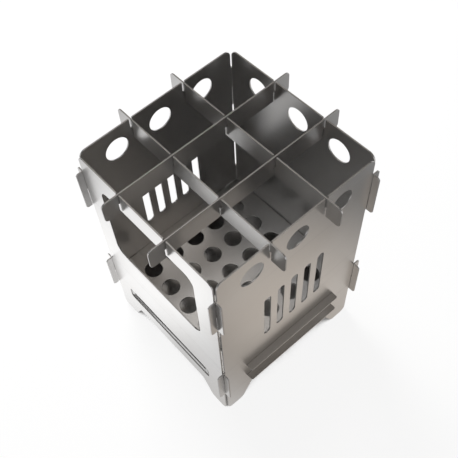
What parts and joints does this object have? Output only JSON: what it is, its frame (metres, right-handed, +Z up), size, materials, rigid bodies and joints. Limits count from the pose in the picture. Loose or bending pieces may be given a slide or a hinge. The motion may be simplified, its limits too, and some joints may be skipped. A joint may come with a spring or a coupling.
{
  "type": "twig stove",
  "caption": "Flat-pack twig stove of sheet steel: square walls hooked at the corners, a fuel window, a perforated burn plate over an ash plate, and a lift-off grate of crossed bars.",
  "frame": {"origin": "on the floor under the middle of the stove", "axes": "+Z up, -Y towards the wall with the fuel window, +X to the right seen from that wall"},
  "size_m": [0.12, 0.12, 0.1525],
  "materials": {
    "stainless_sheet": "satin rolled stainless sheet"
  },
  "bodies": {
    "root": {"front_panel": "stainless_sheet", "back_panel": "stainless_sheet"},
    "side_frame": {"left_panel": "stainless_sheet", "right_panel": "stainless_sheet", "burn_plate": "stainless_sheet", "ash_plate": "stainless_sheet"},
    "bar_back": {"grate_bar_back": "stainless_sheet"},
    "bar_front": {"grate_bar_front": "stainless_sheet"},
    "bar_left": {"grate_bar_left": "stainless_sheet"},
    "bar_right": {"grate_bar_right": "stainless_sheet"}
  },
  "joints": [
    {"name": "side_frame_lift", "type": "slide", "parent": "root", "child": "side_frame", "axis": [0, 0, 1], "range_m": [0, 0.05]},
    {"name": "bar_back_lift", "type": "slide", "parent": "side_frame", "child": "bar_back", "axis": [0, 0, 1], "range_m": [0, 0.03]},
    {"name": "bar_front_lift", "type": "slide", "parent": "side_frame", "child": "bar_front", "axis": [0, 0, 1], "range_m": [0, 0.03]},
    {"name": "bar_left_lift", "type": "slide", "parent": "bar_back", "child": "bar_left", "axis": [0, 0, 1], "range_m": [0, 0.03]},
    {"name": "bar_right_lift", "type": "slide", "parent": "bar_back", "child": "bar_right", "axis": [0, 0, 1], "range_m": [0, 0.03]}
  ],
  "couplings": [
    {"joint": "bar_front_lift", "follows": "bar_back_lift", "ratio": 1}
  ]
}
